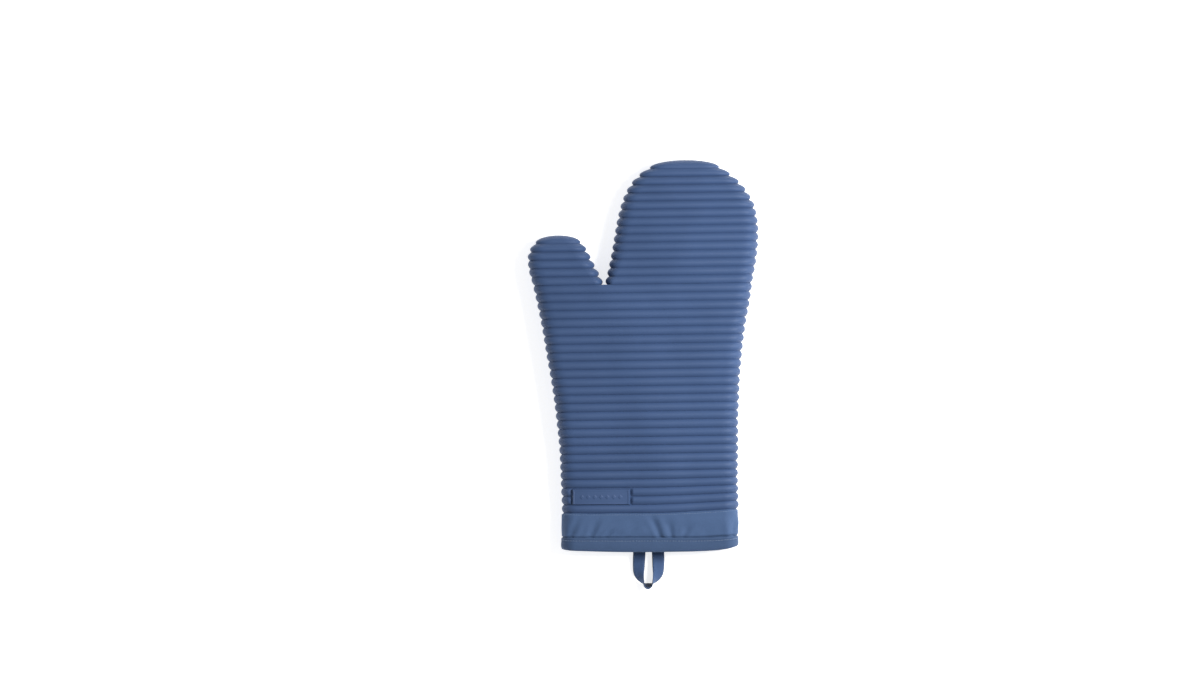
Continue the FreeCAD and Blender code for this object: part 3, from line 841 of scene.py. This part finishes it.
# ---------------------------------------------------------------- wadding and lining
def layer_rings(pocket, inset, count, jitter=0.0):
    """Rings for one side of a layer inside a pocket: count of them, and more in a rounded end."""
    if pocket.tip is None:
        y = np.linspace(CUFF_LENGTH + 1, CROTCH - 1.4, count)
    else:
        turn = np.linspace(0, math.pi / 2, 12)[:-1]
        end = pocket.tip - inset
        y = np.append(np.linspace(CROTCH + 0.2, pocket.last_groove - 4, count),
                      pocket.last_groove - 4 + (end - pocket.last_groove + 4) * np.sin(turn)[1:])
    points = pocket.rings(y, inset, top=50)
    inwards = np.sign(MID_HEIGHT - points[..., 2])
    points[..., 2] += jitter * waves(points[..., 0], points[..., 1], 50, 9) * inwards
    return points


def wadding_layer(name, pocket, count):
    outer = layer_rings(pocket, WADDING_INSET[0] + 0.2, count, jitter=0.1)
    inner = layer_rings(pocket, WADDING_INSET[1], count, jitter=0.15)
    return wall_mesh(name, drawn(outer), drawn(inner), wadding_fibre, tipped=pocket.tip is not None)


wadding_hand = wadding_layer("wadding_hand_layer", HAND, 60)
wadding_fingers = wadding_layer("wadding_fingers_layer", FINGERS, 30)
wadding_thumb = wadding_layer("wadding_thumb_layer", THUMB, 12)

# The inset of the lining's inside by y, from the mouth to the shell, where the cuff takes less room.
LINING_EASE = [(0, 3.1), (BINDING_TOP, 3.1), (14, 3.2), (28, 5.6), (34, 6.0), (240, 6.0)]
LINING_THICKNESS = 0.9
QUILT = 24.0               # across a diamond, before it is fitted to the girth
MOST_PUFF = 1.9            # as far as the simulation may move a point


def quilt_distance(rings):
    """How far each point is from the nearest line of quilting, in a diamond pattern."""
    uv = ring_uvs(rings).reshape(*rings.shape[:2], 2)
    girth = uv[0, -1, 0] * rings.shape[1] / (rings.shape[1] - 1)
    step = girth / round(girth / QUILT)
    u, v = uv[..., 0] / step, uv[..., 1] / step
    lines = [np.abs(d - np.round(d)) for d in (u + v, u - v)]
    return np.minimum(*lines) * step / math.sqrt(2)


def puffed(rings, name):
    """Cloth simulation: the lining swells between its lines of quilting, which are pinned, and its ends."""
    away = quilt_distance(rings)
    m, n = rings.shape[:2]
    ring = np.arange(m)[:, None]
    pinned = (away < 1.4) | (ring < 4) | (ring > m - 4)
    cloth_piece = add_mesh(name, rings.reshape(-1, 3), grid_faces(m, n, flip=True), lining_cloth)
    group = cloth_piece.vertex_groups.new(name="quilting")
    group.add(np.flatnonzero(pinned.ravel()).tolist(), 1.0, "REPLACE")
    modifier = cloth_piece.modifiers.new("Cloth", "CLOTH")
    settings = modifier.settings
    settings.quality = 5
    settings.mass = 0.15
    settings.tension_stiffness = settings.compression_stiffness = 8
    settings.shear_stiffness = 4
    settings.bending_stiffness = 0.4
    settings.vertex_group_mass = "quilting"
    settings.use_pressure = True
    settings.uniform_pressure_force = 5.0
    settings.shrink_min = -0.03
    settings.effector_weights.gravity = 0
    modifier.collision_settings.use_collision = False
    scene = bpy.context.scene
    for step in range(1, 16):
        scene.frame_set(step)
    shown = cloth_piece.evaluated_get(bpy.context.evaluated_depsgraph_get())
    moved = np.array([v.co for v in shown.data.vertices]).reshape(m, n, 3)
    scene.frame_set(1)
    bpy.data.objects.remove(cloth_piece)
    moved = (moved - ORIGIN) / MM
    shift = moved - rings
    size = np.linalg.norm(shift, axis=2, keepdims=True)
    return rings + shift * np.minimum(1, MOST_PUFF / np.maximum(size, 1e-6))


def hand_lining():
    """The quilted lining, from the mouth to the crotch. Past the band it keeps the outline of the hand."""
    y = np.linspace(1.2, CROTCH - 1.4, 105)
    inset = through(LINING_EASE, y)
    cuff_shape = np.maximum(y, CUFF_LENGTH)
    inner = HAND.rings(y, inset, cuff_shape, top=56, side=20)
    outer = HAND.rings(y, inset - LINING_THICKNESS, cuff_shape, top=56, side=20)
    inner, outer = drawn(inner), drawn(outer)
    inner = puffed(inner, "lining_cloth_trial")
    return wall_mesh("lining_hand_quilted", outer, inner, lining_cloth)


def folding_lining(name, pocket, count):
    outer = layer_rings(pocket, LINING_INSET[0], count)
    inner = layer_rings(pocket, LINING_INSET[1], count)
    return wall_mesh(name, drawn(outer), drawn(inner), lining_cloth, tipped=True)


lining_hand = hand_lining()
lining_fingers = folding_lining("lining_fingers_layer", FINGERS, 30)
lining_thumb = folding_lining("lining_thumb_layer", THUMB, 12)

# ---------------------------------------------------------------- hanging loop
TAPE_LOW, TAPE_HIGH = (np.array(c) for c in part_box("loop_ends"))
TAPE_WIDTH = 10.5
TAPE_THICKNESS = 1.0
TAPE_MIDDLE = (TAPE_LOW[2] + TAPE_HIGH[2]) / 2 / MM
LEG_OFFSET = 7.9
SEWN = 9.6
# Half of the loop by its share of the way from the hem, 0, to the tip, 1: the tape's middle and its roll.
LOOP_X = [(-0.25, -LEG_OFFSET), (0, -LEG_OFFSET), (0.25, -8.2), (0.5, -8.3), (0.8, -5.0), (1, 0)]
LOOP_Y = [(-0.25, SEWN), (0, 0), (0.25, -8.8), (0.5, -17.5), (0.8, -26.9), (1, -30.6)]
LOOP_Z = [(-0.25, TAPE_MIDDLE), (0, TAPE_MIDDLE + 0.1), (0.5, TAPE_MIDDLE + 0.6), (0.8, 5.5), (1, 5.4)]
LOOP_ROLL = [(-0.25, 0), (-0.05, 0), (0.25, 10), (0.5, 25), (0.8, 72), (1, 118)]
LOOP_SHIFT = -0.9          # the loop leans to the left of the cuff's middle
TAPE_EDGE = 0.78           # where its rows of stitches run, as a share of its half width


def to_tip(share):
    """The share along one half of the loop, eased where the halves meet."""
    half = np.minimum(share, 2 - share)
    late = np.clip((half - 0.8) / 0.2, 0, 1)
    return half + 0.2 * (1.7 * late**2 - 2.4 * late**3 + 0.7 * late**4)


def loop_middle(share):
    """The middle of the tape: up one half of the loop to share 1, then down the other."""
    half, eased = np.minimum(share, 2 - share), to_tip(share)
    side = np.where(share <= 1, 1, -1)
    x = side * through(LOOP_X, half) + LOOP_SHIFT * (1 + 0.7 * np.clip(half, 0, 1) ** 2)
    return np.stack([x, through(LOOP_Y, eased), through(LOOP_Z, eased)], axis=-1)


def loop_frame(share):
    """The tape's middle, the direction it runs, the direction of its width, and its face's direction."""
    here = loop_middle(share)
    along = loop_middle(np.minimum(share + 0.02, 2.25)) - loop_middle(np.maximum(share - 0.02, -0.25))
    along = along / np.linalg.norm(along, axis=-1, keepdims=True)
    roll = np.radians(through(LOOP_ROLL, to_tip(share)))[..., None]
    across = np.stack([-along[..., 1], along[..., 0], 0 * along[..., 0]], axis=-1)
    across = across / np.linalg.norm(across, axis=-1, keepdims=True)
    wide = across * np.cos(roll) + np.array([0, 0, 1.0]) * np.sin(roll)
    return here, along, wide, np.cross(along, wide)


def hanging_tape():
    """The tape, and its length in millimetres."""
    share = np.linspace(-0.25, 2.25, 150)
    here, _, wide, face = loop_frame(share)
    section = []
    for w in np.linspace(-1, 1, 13):
        edge = 1 - abs(w) ** 8
        ridge = 0.14 * math.exp(-(((abs(w) - 0.93) / 0.08) ** 2))
        ridge -= 0.10 * math.exp(-(((abs(w) - TAPE_EDGE) / 0.05) ** 2))
        section.append((w, 0.5 * edge**0.5 + ridge))
    profile = section + [(w, -t) for w, t in section[-2:0:-1]]
    half = TAPE_WIDTH / 2
    points = np.stack([here + wide * w * half + face * (t * TAPE_THICKNESS) for w, t in profile], axis=1)
    m, k = points.shape[:2]
    faces = grid_faces(m, k, flip=True) + [tuple(range(k)), tuple(range(m * k - 1, (m - 1) * k - 1, -1))]
    run = np.concatenate([[0], np.cumsum(np.linalg.norm(np.diff(here, axis=0), axis=1))])
    w = np.array(profile)[:, 0]
    across = np.where(np.arange(k) < len(section), w * half, 3 * TAPE_WIDTH - w * half)
    u, v = np.broadcast_to(across, (m, k)), np.broadcast_to(run[:, None], (m, k))
    uvs = np.stack([u, v], axis=2).reshape(-1, 2)
    return add_mesh("hanging_tape", points.reshape(-1, 3), faces, tape_twill, uvs), run[-1]


tape, TAPE_LENGTH = hanging_tape()


def tape_stitches():
    """Rows of stitches along both edges of both faces of the tape."""
    count = 44
    stitches = []
    for face_side in (1, -1):
        for edge in (-TAPE_EDGE, TAPE_EDGE):
            for i in range(count):
                a = 0.02 + i * 1.96 / count
                share = np.array([a, a + 1.25 / count])
                here, _, wide, face = loop_frame(share)
                ends = here + wide * edge * TAPE_WIDTH / 2 + face * face_side * 0.42 * TAPE_THICKNESS
                stitches.append((ends[0], ends[1], face[0] * face_side))
    return stitch_mesh("tape_stitches", stitches, 0.11)


def bar_tacks():
    """Dense zigzag stitches that hold each sewn end of the tape."""
    stitches = []
    for side in (-1, 1):
        middle = side * LEG_OFFSET + LOOP_SHIFT
        z = TAPE_MIDDLE + 0.5 * TAPE_THICKNESS
        for x in np.linspace(middle - 3.9, middle + 3.9, 22):
            stitches.append(((x, 6.4, z), (x + 0.2, 8.2, z), (0, 0, 1)))
    return stitch_mesh("tape_bar_tacks", stitches, 0.18)


loop_stitches = tape_stitches()
tacks = bar_tacks()

# ---------------------------------------------------------------- what rides the hand, and which imported parts are hidden
RIDING_THE_HAND = (
    (shell_hand, "shell_hand", "silicone"),
    (shell_web, None, "silicone"),
    (plate, None, "silicone"),
    (band, "cuff_band", "twill"),
    (binding, "hem_binding", "twill"),
    (hem_stitches, "hem_thread", "thread"),
    (band_stitches, "cuff_join_thread", "thread"),
    (tacks, "loop_tacks", "thread"),
)
for piece, cad_node, slot in RIDING_THE_HAND:
    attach(piece, "hand")
    if cad_node is not None:
        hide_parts(cad_node)

PIECES_BY_POCKET = (
    ("hand", None, None, wadding_hand, lining_hand),
    ("fingers", shell_fingers, FINGER_BLEND, wadding_fingers, lining_fingers),
    ("thumb", shell_thumb, THUMB_BLEND, wadding_thumb, lining_thumb),
)
for body, skin, zone, soft, inside in PIECES_BY_POCKET:
    if skin is None:
        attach(soft, body)
        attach(inside, body)
    else:
        for piece in (skin, soft, inside):
            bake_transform(piece)
        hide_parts("shell_" + body)
    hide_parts("wadding_palm_" + body, "wadding_back_" + body)
    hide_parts("lining_palm_" + body, "lining_back_" + body)

for piece in (tape, loop_stitches):
    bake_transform(piece)
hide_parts("hanging_loop", "loop_ends")

# ---------------------------------------------------------------- floor, light and camera
# These are in metres, but for the sensor.
VIEW_CENTRE = row((-42.2, 180.3, 0))
VIEW_WIDTH = 1.013         # across the picture at the height of the ribs
CAMERA_HEIGHT = 4.0
RIB_LEVEL = 0.026
SENSOR = 36.0
FLOOR_REACH = 3.0
FLOOR_LEVEL = -0.0005


def make_floor():
    signs = ((-1, -1), (1, -1), (1, 1), (-1, 1))
    corners = [(a * FLOOR_REACH, b * FLOOR_REACH, FLOOR_LEVEL) for a, b in signs]
    material, _, shader = principled("pale_floor", (0.95, 0.95, 0.95), 0.9)
    shader.inputs["Emission Color"].default_value = (1, 1, 1, 1)
    shader.inputs["Emission Strength"].default_value = 0.7
    floor = add_mesh("floor", corners, [(0, 1, 2, 3)], material, in_frame=True, smooth=False)


def key_light(place, size, power):
    """A square lamp that looks at the origin."""
    light = bpy.data.lights.new("key", "AREA")
    light.energy, light.size = power, size
    lamp = bpy.data.objects.new("key", light)
    bpy.context.scene.collection.objects.link(lamp)
    lamp.location = place
    lamp.rotation_euler = (-Vector(place)).to_track_quat("-Z", "Y").to_euler()


make_floor()
key_light((0.50, 0.12, 0.62), 0.33, 8.3)

# Soft light from all round, brighter near the horizon than overhead.
world = bpy.data.worlds.new("studio")
world.use_nodes = True
sky = world.node_tree
direction = node(sky, "ShaderNodeSeparateXYZ")
sky.links.new(node(sky, "ShaderNodeTexCoord").outputs["Generated"], direction.inputs[0])
glow = mapped(sky, direction.outputs["Z"], 0.06, 0.45, 0.88, 0.30)
sky.links.new(glow, sky.nodes["Background"].inputs["Strength"])
sky.nodes["Background"].inputs["Color"].default_value = (1, 1, 1, 1)
bpy.context.scene.world = world

camera_data = bpy.data.cameras.new("overhead")
camera_data.sensor_width = SENSOR
camera_data.lens = SENSOR * (CAMERA_HEIGHT - RIB_LEVEL) / VIEW_WIDTH
camera_data.clip_end = 20
camera = bpy.data.objects.new("overhead", camera_data)
camera.location = (VIEW_CENTRE[0], VIEW_CENTRE[1], CAMERA_HEIGHT)
bpy.context.scene.collection.objects.link(camera)
bpy.context.scene.camera = camera
bpy.context.scene.view_settings.view_transform = "Standard"

bpy.context.view_layer.update()
